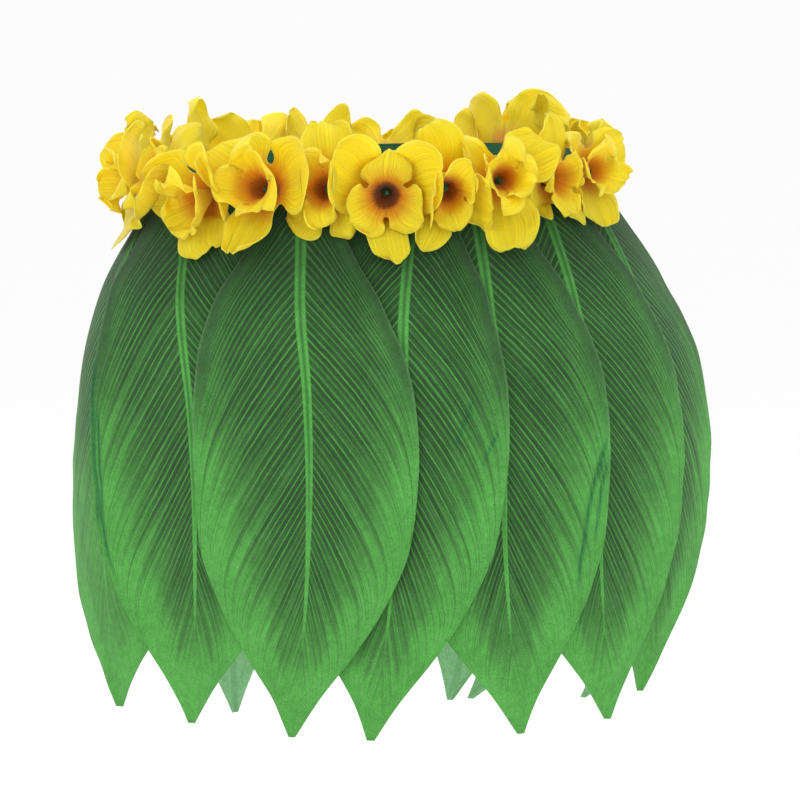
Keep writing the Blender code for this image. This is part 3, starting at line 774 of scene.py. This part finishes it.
def stand_off(leaf, across, drop):
    """How far the leaf's inner face stands off the form, so that the leaves lie like shingles."""
    begun = rising(drop, SHINGLE_START, SHINGLE_FULL - SHINGLE_START)
    narrow = np.clip(leaf_half_width(leaf, drop) / LEAF_HALF_WIDTH, 0.0, 1.0)
    middle = (leaf.layer_left + leaf.layer_right) / 2.0
    slant = (leaf.layer_right - leaf.layer_left) / 2.0
    layer = middle + slant * across * np.where(drop > SHINGLE_FULL, np.sqrt(narrow), 1.0)
    openness = across * np.sign(slant)
    free = np.clip((openness - EDGE_LIFT_FROM) / (1.0 - EDGE_LIFT_FROM), 0.0, 1.0)
    flare = leaf.lift * free**2 * narrow * edge_lift_share(drop)
    return SEAM_GAP + begun * (SHINGLE_STEP * layer + flare)


def leaf_surface(leaf, across, drop):
    middle = midrib_angle(leaf, drop)
    more, depth = LEFT_SHOULDERS.get(leaf.name, (0.0, 1.0))
    left = leaf.left * (1.0 + more * smooth_step((depth - drop) / depth))
    side = np.where(across < 0.0, left, leaf.right)
    reach = across * side * leaf_half_width(leaf, drop)
    angle = middle + reach / round_rate(middle, drop)
    angle = middle + reach / round_rate((middle + angle) / 2.0, drop)
    normal = form_normal(angle, drop)
    return form_point(angle, drop) + normal * stand_off(leaf, across, drop)[..., None], normal, reach


def leaf_waves(leaf, index, across, drop):
    """Soft uneven bends of the hanging cloth, small near the sewn root."""
    chance = random.Random(500 + index)
    free = rising(drop, WAVE_FREE_FROM, WAVE_FREE_AT - WAVE_FREE_FROM)
    total = np.zeros_like(drop)
    for length, size in WAVES:
        lean = chance.uniform(-0.5, 0.5)
        phase = chance.uniform(0.0, 2.0 * math.pi)
        way = across * LEAF_HALF_WIDTH * math.cos(lean) + drop * math.sin(lean)
        total = total + size * np.sin(2.0 * math.pi * way / length + phase)
        phase = chance.uniform(0.0, 2.0 * math.pi)
        total = total + size * 0.7 * np.sin(2.0 * math.pi * drop / (length * 1.4) + phase)
    edge = np.abs(across) ** 6
    phase = chance.uniform(0.0, 2.0 * math.pi)
    ripple = np.sin(2.0 * math.pi * drop / RIPPLE_LENGTH + phase + 1.5 * np.sin(drop * 47.0 + phase))
    return free * WAVE_SHARES.get(leaf.name, 1.0) * (total + RIPPLE_SIZE * edge * ripple)


def vein_root(leaf, drop, reach, share):
    """The drop at which the vein through each point leaves the midrib."""
    slopes = np.array(VEIN_SLOPE)
    swept = VEIN_SWEEP * -np.log(1.0 - share**3)
    high, low = np.full_like(drop, VEIN_SLOPE[0][0]), drop.copy()
    for _ in range(VEIN_ROUNDS):
        middle = (high + low) / 2.0
        reached = middle + np.abs(reach) * np.interp(middle, slopes[:, 0], slopes[:, 1]) + swept
        too_low = reached > drop
        low = np.where(too_low, middle, low)
        high = np.where(too_low, high, middle)
    return (high + low) / 2.0


def crease_distance(line, reach, drop, half):
    """How far each point is from a crease, and how far along it from 0 to 1."""
    nearest = np.full_like(drop, 1.0)
    along = np.zeros_like(drop)
    count = len(line) - 1
    for i in range(count):
        (a_across, a_drop), (b_across, b_drop) = line[i], line[i + 1]
        ax, bx = a_across * half, b_across * half
        way_x, way_y = bx - ax, b_drop - a_drop
        t = ((reach - ax) * way_x + (drop - a_drop) * way_y) / (way_x**2 + way_y**2)
        t = np.clip(t, 0.0, 1.0)
        away = np.hypot(reach - ax - t * way_x, drop - a_drop - t * way_y)
        along = np.where(away < nearest, (i + t) / count, along)
        nearest = np.minimum(nearest, away)
    return nearest, along


def crease_values(leaf, across, drop, reach):
    """The painted shadow line and the trough of the leaf's creases."""
    half = side_half_width(leaf, across, drop)
    shadow_share, trough = np.zeros_like(drop), np.zeros_like(drop)
    for name, width, depth, line in CREASES:
        if name != leaf.name:
            continue
        away, along = crease_distance(line, reach, drop, half)
        ends = smooth_step(along / 0.15) * smooth_step((1.0 - along) / 0.25)
        shadow_share = np.maximum(shadow_share, 0.85 * ends * np.exp(-((away / width) ** 2)))
        trough = trough + depth * ends * np.exp(-((away / (2.6 * width)) ** 2))
    return shadow_share, trough


def print_values(leaf, index, across, drop, reach, crease_shadow):
    """Where each point of the leaf lies in its print, and its painted shade, shadow and sheen."""
    share = np.clip(np.abs(reach) / side_half_width(leaf, across, drop), 0.0, 0.985)
    vein = vein_root(leaf, drop, reach, share)
    low = np.clip(drop / leaf.tip_drop, 0.0, 1.0)
    heart = np.array(DARK_HEART)
    dark_share = np.interp(low, heart[:, 0], heart[:, 1])
    tone = rising(share, dark_share - 0.46, 0.90)
    tone = np.maximum(tone, rising(low, *LIGHT_TIP))
    # Painted sheen: the side leaf is made lighter lower down.
    for name, start, length, least in SHEEN_LIGHTER:
        if name == leaf.name:
            tone = np.maximum(tone, least * rising(drop, start, length))
    streaks = 0.70 * rising(low, *STREAKS_START) * (1.0 - 0.70 * rising(low, *STREAKS_END))
    fade = 1.0 - 0.72 * rising(low, *TIP_FADE)
    fade = fade * (1.0 - 0.35 * rising(share, *EDGE_FADE) * rising(low, *EDGE_FADE_START))
    # Painted shade: a darker, greyer band without veins along the upper margins, fading out down the
    # leaf.
    margin_shade = 0.75 * rising(share, *SHADED_MARGIN) * (1.0 - rising(low, *SHADED_MARGIN_END))
    # Painted sheen: a pale line along the leaf's margins, fading out down the leaf.
    rim = 0.5 * rising(np.abs(across), *SHEEN_RIM) * (1.0 - rising(low, *SHEEN_RIM_END))
    # Painted shade under the flowers: each leaf is darker at its top.
    shade = 1.0 - 0.45 * (1.0 - rising(drop, *TOP_SHADE))
    widths = np.array(MIDRIB)
    midrib = np.where(low < MIDRIB[-1][0], np.interp(low, widths[:, 0], widths[:, 1]), 0.0)
    chance = random.Random(900 + index)
    return {
        "vein": vein,
        "tone": tone,
        "streaks": streaks,
        "fade": fade,
        "margin_shade": margin_shade,
        "rim": rim,
        "shade": shade,
        "side": reach,
        "midrib": midrib,
        "crease_shadow": crease_shadow,
        "print_offset": np.full_like(drop, chance.uniform(0.0, 5.0)),
    }


def build_leaf(leaf, index, materials):
    even = np.linspace(-1.0, 1.0, LEAF_COLUMNS)
    columns = even * (1.0 - EDGE_CROWDING) + np.sin(even * math.pi / 2.0) * EDGE_CROWDING
    rows = np.linspace(0.0, 1.0, LEAF_ROWS)
    drops = ROOT_TOP + (leaf.tip_drop - ROOT_TOP) * rows
    across, drop = np.meshgrid(columns, drops)
    inner, normal, reach = leaf_surface(leaf, across, drop)
    crease_shadow, trough = crease_values(leaf, across, drop, reach)
    values = print_values(leaf, index, across, drop, reach, crease_shadow)
    width = np.maximum(values["midrib"], 0.0004)
    raised = MIDRIB_RAISE * np.exp(-((reach / width) ** 2)) * (values["midrib"] > 0)
    height = LEAF_CLOTH + raised + leaf_waves(leaf, index, across, drop) - trough
    outer = inner + normal * height[..., None]
    made = mesh_object(
        f"{leaf.name}_cloth",
        outer.reshape(-1, 3),
        grid_faces(LEAF_ROWS, LEAF_COLUMNS),
        materials,
        values,
    )
    thicken(made, LEAF_CLOTH, -1.0)
    length = leaf.tip_drop - ROOT_TOP
    sides = leaf.left + leaf.right
    area = float(np.mean(sides * leaf_half_width(leaf, drops))) * length
    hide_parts(leaf.name)
    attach(made, "root")


def covered_by_root(angle):
    for leaf in LEAVES:
        apart = abs((angle - leaf.root + 180.0) % 360.0 - 180.0)
        rate = round_rate(np.radians(leaf.root), 0.0)
        if apart < math.degrees(leaf.root_half_width / rate) + ROOT_MARGIN_DEGREES:
            return True
    return False


def flower_frame(flower):
    """The flower's base point and its axis, with two directions across it."""
    angle = np.radians(flower.angle)
    out = form_normal(angle, -flower.height)
    out = np.array([out[0], out[1], 0.0]) / np.hypot(out[0], out[1])
    side = np.array([-out[1], out[0], 0.0])
    turn, lift = np.radians(flower.turn), np.radians(flower.lift)
    level = out * math.cos(turn) + side * math.sin(turn)
    up = np.array([0.0, 0.0, 1.0])
    axis = level * math.cos(lift) + up * math.sin(lift)
    across = np.cross(up, level)
    upward = np.cross(level, across)
    upward = upward * math.cos(lift) - level * math.sin(lift)
    tilt = math.sqrt(max(0.0, 1.0 - float(axis @ out) ** 2))
    seat = SEAM_GAP + (LEAF_WALL + SEAM_GAP if covered_by_root(flower.angle) else 0.0)
    ring = WHORLS[-1].base_radius * tilt
    base = form_point(angle, -flower.height) + out * (seat + PETAL_WALL / 2.0 + ring)
    return base, axis, across, upward


def petal_habits(flower_index, whorl_index):
    chance = random.Random(HABIT_SEEDS.get(flower_index, 100 * flower_index) + whorl_index)
    habits = []
    for _ in range(PETALS_PER_WHORL):
        habits.append({name: chance.uniform(low, high) for name, low, high in HABITS})
    return habits


def own_shape(flower_index, whorl_index, petal):
    """How much longer and broader this petal is than its whorl's others."""
    for flower, whorl, own, length, width in OWN_PETALS:
        if (flower, whorl, own) == (flower_index, whorl_index, petal):
            return length, width
    return 1.0, 1.0


def past_split(whorl, along):
    """Nought on the ring, then rising to one at the tip."""
    return np.clip((along - whorl.split) / (1.0 - whorl.split), 0.0, 1.0)


def length_along(whorl, flower, habit, own):
    """The petal's length as it is used at each step of its spine."""
    free = past_split(whorl, np.linspace(0.0, 1.0, SPINE_STEPS + 1))
    return whorl.length * flower.size * (1.0 + (habit["length"] + own[0] - 1.0) * free)


def petal_spine(whorl, flower, habit, own, closing, tip_turn):
    """Radius, height and slope at each step of a petal's middle line."""
    steps = np.linspace(0.0, 1.0, SPINE_STEPS + 1)
    free = past_split(whorl, steps)
    rise = whorl.slope_tip - whorl.slope_base
    slope = whorl.slope_base + rise * steps**whorl.slope_power + habit["slope"] * free
    opened = np.minimum(steps / whorl.split, 1.0)
    slope = slope + tip_turn * rising(steps, TIP_TURN_FROM, 1.0 - TIP_TURN_FROM)
    slope = slope - closing * smooth_step(steps / CLOSED_AT)
    slope = np.radians(slope + FORWARD_CLOSING * (0.5 - flower.forward) * opened)
    length = length_along(whorl, flower, habit, own)
    piece = (length[1:] + length[:-1]) / 2.0 / SPINE_STEPS
    middle = (slope[1:] + slope[:-1]) / 2.0
    radius = whorl.base_radius + np.concatenate([[0.0], np.cumsum(piece * np.sin(middle))])
    height = np.concatenate([[0.0], np.cumsum(piece * np.cos(middle))])
    return steps, radius, height, slope


def petal_half_angle(whorl, full, along, at_split, radius):
    """Half of the angle that the petal takes up: a share of the ring, then a blade of its own."""
    sector = math.pi / PETALS_PER_WHORL * RING_SHARE
    t = past_split(whorl, along)
    width = sector * at_split + (full - sector * at_split) * smooth_step(t / BLADE_BROAD_AT)
    tip = np.clip((t - BLADE_TIP_FROM) / (1.0 - BLADE_TIP_FROM), 0.0, 1.0)
    width = width * (1.0 - (1.0 - BLADE_TIP_SHARE) * tip**BLADE_TIP_POWER)
    rounding = np.sqrt(np.clip(1.0 - (1.0 - TIP_ROUNDING) * tip**6, 0.0, 1.0))
    return np.where(along <= whorl.split, sector, width * rounding / radius)


def petal_bend(habit, across, t, chance):
    """How far the petal bends in: its curl, creases, ruffles, twist, fold and rolled rims."""
    bend = habit["curl"] * across**2 * t
    rolled = [chance.uniform(*RIM_ROLLED) for _ in range(2)]
    rolled = np.where(across < 0.0, rolled[0], rolled[1])
    rims = np.clip((np.abs(across) - 0.5) / 0.5, 0.0, 1.0) ** 2
    roll = RIM_ROLL * rolled * rims * smooth_step(t / 0.5)
    phases = [chance.uniform(0.0, 2.0 * math.pi) for _ in range(4)]
    for (size, count, lean), phase in zip(PETAL_CREASES, phases[:2]):
        bend = bend + size * np.sin(count * across * math.pi + phase + lean * t) * t
    for (size, often, power), phase in zip(RUFFLES, phases[2:]):
        bend = bend + size * np.sin(often * t + phase) * across**power * t
    twist = chance.uniform(-TWIST, TWIST) * across * t
    fold = chance.uniform(-FOLD, FOLD) * np.abs(across) * t
    return bend + twist + fold - roll


def petal_points(whorl, flower, petal, habit, across, along, chance, own, closing):
    """Points of one petal in the flower's own axes."""
    tip_turn = chance.uniform(-TIP_TURN, TIP_TURN)
    steps, radius, height, slope = petal_spine(whorl, flower, habit, own, closing, tip_turn)
    radius_here = np.interp(along, steps, radius)
    height_here = np.interp(along, steps, height)
    slope_here = np.interp(along, steps, slope)
    at_split = np.interp(whorl.split, steps, radius)
    full = whorl.half_width * flower.size * habit["width"] * own[1]
    half_angle = petal_half_angle(whorl, full, along, at_split, radius_here)
    t = past_split(whorl, along)
    turn = 2.0 * math.pi * petal / PETALS_PER_WHORL + math.radians(whorl.turn + flower.roll)
    angle = turn + across * half_angle + habit["sway"] * t**2
    bend = petal_bend(habit, across, t, chance)
    radius_here = radius_here - bend * np.cos(slope_here)
    height_here = height_here + bend * np.sin(slope_here)
    crowding = CROWDING_BACK * (1.0 - flower.forward)
    narrowed = 1.0 - crowding * smooth_step(radius_here / CROWDING_RADIUS)
    sideways = radius_here * np.cos(angle) * narrowed
    return np.stack([sideways, radius_here * np.sin(angle), height_here], axis=-1)


def cells(cups, index):
    """Planes between a flower and its neighbours, each as a point and a direction towards it."""
    own, own_out, own_forward = cups[index]
    planes = []
    for i, (other, other_out, other_forward) in enumerate(cups):
        if i == index or np.linalg.norm(other - own) > CELL_REACH:
            continue
        out = (own_out + other_out) / 2.0
        way = (other - own) / np.linalg.norm(other - own)
        way = way - out * FORWARD_SLANT * (own_forward - other_forward)
        planes.append(((own + other) / 2.0, way / np.linalg.norm(way)))
    return planes


def press_into_cell(points, planes, axis, inset):
    """Moves points back from the neighbours and as far out along the flower's axis."""
    for middle, way in planes:
        room = (middle - points) @ way - CELL_MARGIN - inset
        eased = CELL_SOFTNESS * np.exp(np.minimum(room / CELL_SOFTNESS - 1.0, 0.0))
        moved = np.where(room < CELL_SOFTNESS, eased - room, 0.0)[..., None] * CELL_SHARE
        along = axis - way * float(axis @ way)
        points = points - moved * way + moved * along
    return points


def rest_on_leaves(points, inset):
    _, drop, outside = form_place(points)
    angle = np.arctan2(points[..., 0], -points[..., 1])
    begun = rising(drop, SHINGLE_START, SHINGLE_FULL - SHINGLE_START)
    flare = max(leaf.lift for leaf in LEAVES) * edge_lift_share(drop)
    cover = 2.0 * SEAM_GAP + LEAF_WALL + begun * (TOP_LAYER * SHINGLE_STEP + flare)
    above = np.clip(-drop - BAND_HEIGHT / 2.0 - LEAN_START, 0.0, LEAN_REACH)
    lacking = cover + COVER_MARGIN + inset - LEAN_SHARE * above - outside
    return points + form_normal(angle, drop) * np.maximum(lacking, 0.0)[..., None]


def settle(points, planes, axis, base, inset):
    """Presses a whorl into its cell and lifts it off the leaves. Its seat stays in place."""
    away = np.linalg.norm(points - base, axis=-1)
    hold = rising(away, SEAT_REACH, SEAT_REACH)[..., None]
    start = points
    points = press_into_cell(points, planes, axis, inset)
    for _ in range(SETTLE_ROUNDS):
        points = rest_on_leaves(points, inset)
    return start + (points - start) * hold


def build_whorl(index, flower, whorl_index, cups, materials):
    whorl = WHORLS[whorl_index]
    base, axis, across_way, upward = flower_frame(flower)
    habits = petal_habits(index, whorl_index)
    chance = random.Random(7000 + 10 * index + whorl_index)
    columns = np.linspace(-1.0, 1.0, PETAL_COLUMNS)
    ring_along = whorl.split * np.linspace(0.0, 1.0, RING_ROWS)
    blade_along = whorl.split + (1.0 - whorl.split) * np.linspace(0.0, 1.0, BLADE_ROWS + 1)[1:]
    rows_along = np.concatenate([ring_along, blade_along])
    rows = len(rows_along)
    points, alongs, edges, lanes, throats = [], [], [], [], []
    closing = CLOSING.get(index, OTHER_CLOSING)[whorl_index]
    across, along = np.meshgrid(columns, rows_along)
    t = past_split(whorl, along)
    longest = 0.0
    for petal, habit in enumerate(habits):
        own = own_shape(index, whorl_index, petal)
        longest = max(longest, float(np.mean(length_along(whorl, flower, habit, own))))
        points.append(petal_points(whorl, flower, petal, habit, across, along, chance, own, closing))
        alongs.append(along)
        # The rims and the tip, where the petals get their painted glow.
        edges.append(np.maximum(np.abs(across) * smooth_step(t / 0.3), rising(t, 0.8, 0.2)))
        lanes.append(across * 0.5 + 3.1 * petal + 9.7 * index + 5.3 * whorl_index)
        throats.append(np.full_like(along, THROATS.get(index, OTHER_THROATS)))
    local = np.array(points)
    world = base + local[..., 0:1] * across_way + local[..., 1:2] * upward
    world = world + local[..., 2:3] * axis
    inset = WHORL_GAP * (len(WHORLS) - 1 - whorl_index)
    world = settle(world, cells(cups, index), axis, base, inset)
    faces = []
    count = rows * PETAL_COLUMNS
    for petal in range(PETALS_PER_WHORL):
        faces += grid_faces(rows, PETAL_COLUMNS, petal * count)
        after = (petal + 1) % PETALS_PER_WHORL
        for i in range(RING_ROWS - 1):
            here = petal * count + i * PETAL_COLUMNS + PETAL_COLUMNS - 1
            there = after * count + i * PETAL_COLUMNS
            faces.append((here, here + PETAL_COLUMNS, there + PETAL_COLUMNS, there))
    node = f"flower_{index + 1:02d}_{whorl.name}"
    values = {
        "along": np.array(alongs),
        "edge": np.array(edges),
        "lane": np.array(lanes),
        "throat": np.array(throats),
    }
    made = mesh_object(f"{node}_petals", world.reshape(-1, 3), faces, materials, values)
    thicken(made, PETAL_CLOTH, 0.0)
    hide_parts(node)
    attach(made, "root")


def tube_object(name, spine, radii, sides, material):
    """A closed round piece along a spine."""
    points, faces = [], []
    spine = np.array(spine)
    for i, centre in enumerate(spine):
        way = spine[min(i + 1, len(spine) - 1)] - spine[max(i - 1, 0)]
        way = way / np.linalg.norm(way)
        helper = np.array([0.0, 0.0, 1.0]) if abs(way[2]) < 0.8 else np.array([1.0, 0.0, 0.0])
        a = np.cross(way, helper)
        a = a / np.linalg.norm(a)
        b = np.cross(way, a)
        for k in range(sides):
            turn = 2.0 * math.pi * k / sides
            points.append(centre + radii[i] * (a * math.cos(turn) + b * math.sin(turn)))
    for i in range(len(spine) - 1):
        for k in range(sides):
            here, after = i * sides + k, i * sides + (k + 1) % sides
            faces.append((here, after, after + sides, here + sides))
    faces.append(tuple(reversed(range(sides))))
    faces.append(tuple(range((len(spine) - 1) * sides, len(spine) * sides)))
    return mesh_object(name, points, faces, [material])


def build_pin(index, flower, material):
    """The green stem end that shows at the bottom of the throat."""
    base, axis, across_way, upward = flower_frame(flower)
    chance = random.Random(4000 + index)
    lean = across_way * chance.uniform(-0.0008, 0.0008) + upward * chance.uniform(-0.0008, 0.0008)
    spine = [base + axis * (0.0015 + 0.0022 * k) + lean * (k / 3.0) ** 2 for k in range(4)]
    radii = (0.0009, 0.0009, 0.0011, 0.0014)
    made = tube_object(f"flower_{index + 1:02d}_pin", spine, radii, 10, material)
    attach(made, "root")


def aim(thing, target):
    way = Vector(target) - thing.location
    thing.rotation_euler = way.to_track_quat("-Z", "Y").to_euler()


def add_light(name, place, size, power):
    data = bpy.data.lights.new(name, "AREA")
    data.shape = "DISK"
    data.size = size
    data.energy = power
    light = bpy.data.objects.new(name, data)
    light.location = place
    light.visible_camera = False
    bpy.context.scene.collection.objects.link(light)
    aim(light, LIT_POINT)


def build_stage():
    scene = bpy.context.scene
    world = bpy.data.worlds.new("studio")
    world.use_nodes = True
    backdrop = world.node_tree.nodes["Background"]
    backdrop.inputs["Color"].default_value = (1.0, 1.0, 1.0, 1.0)
    backdrop.inputs["Strength"].default_value = 1.0
    scene.world = world
    scene.view_settings.view_transform = "Standard"
    s = Shader("floor_paint", 0.9, specular=0.1)
    s.colour(s.mix(s.noise(3.0, 2.0), (0.97, 0.97, 0.97, 1.0), (0.98, 0.98, 0.98, 1.0)))
    signs = ((-1, -1), (1, -1), (1, 1), (-1, 1))
    corners = [(x * FLOOR_REACH, y * FLOOR_REACH, FLOOR_DEPTH) for x, y in signs]
    floor = mesh_object("floor", corners, [(0, 1, 2, 3)], [s.material])
    for light in LIGHTS:
        add_light(*light)


def build_camera():
    data = bpy.data.cameras.new("camera")
    data.sensor_width = SENSOR
    data.lens = SENSOR * CAMERA_DISTANCE / (IMAGE_SIZE * METRES_PER_PIXEL)
    camera = bpy.data.objects.new("camera", data)
    target = Vector(CAMERA_TARGET)
    lift = math.radians(CAMERA_ELEVATION)
    camera.location = target + CAMERA_DISTANCE * Vector((0.0, -math.cos(lift), math.sin(lift)))
    aim(camera, target)
    bpy.context.scene.collection.objects.link(camera)
    bpy.context.scene.camera = camera


def main():
    build_camera()
    build_stage()
    leaf_materials = [leaf_face_material(), leaf_reverse_material(), leaf_edge_material()]
    for index, leaf in enumerate(LEAVES):
        build_leaf(leaf, index, leaf_materials)
    petals = {whorl.name: petal_materials(whorl.name) for whorl in WHORLS}
    flowers = [f._replace(size=f.size * OWN_SIZES.get(i, 1.0)) for i, f in enumerate(FLOWERS)]
    cups = []
    for flower in flowers:
        base, axis, _, _ = flower_frame(flower)
        out = form_normal(np.radians(flower.angle), 0.0)
        cups.append((base + axis * CUP_DEPTH, out, flower.forward))
    calyx = calyx_material()
    for index, flower in enumerate(flowers):
        for whorl_index in range(len(WHORLS)):
            build_whorl(index, flower, whorl_index, cups, petals[WHORLS[whorl_index].name])
        build_pin(index, flower, calyx)
    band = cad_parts["waistband"]
    elastic = elastic_material()
    for slot in band.material_slots:
        slot.material = elastic


main()
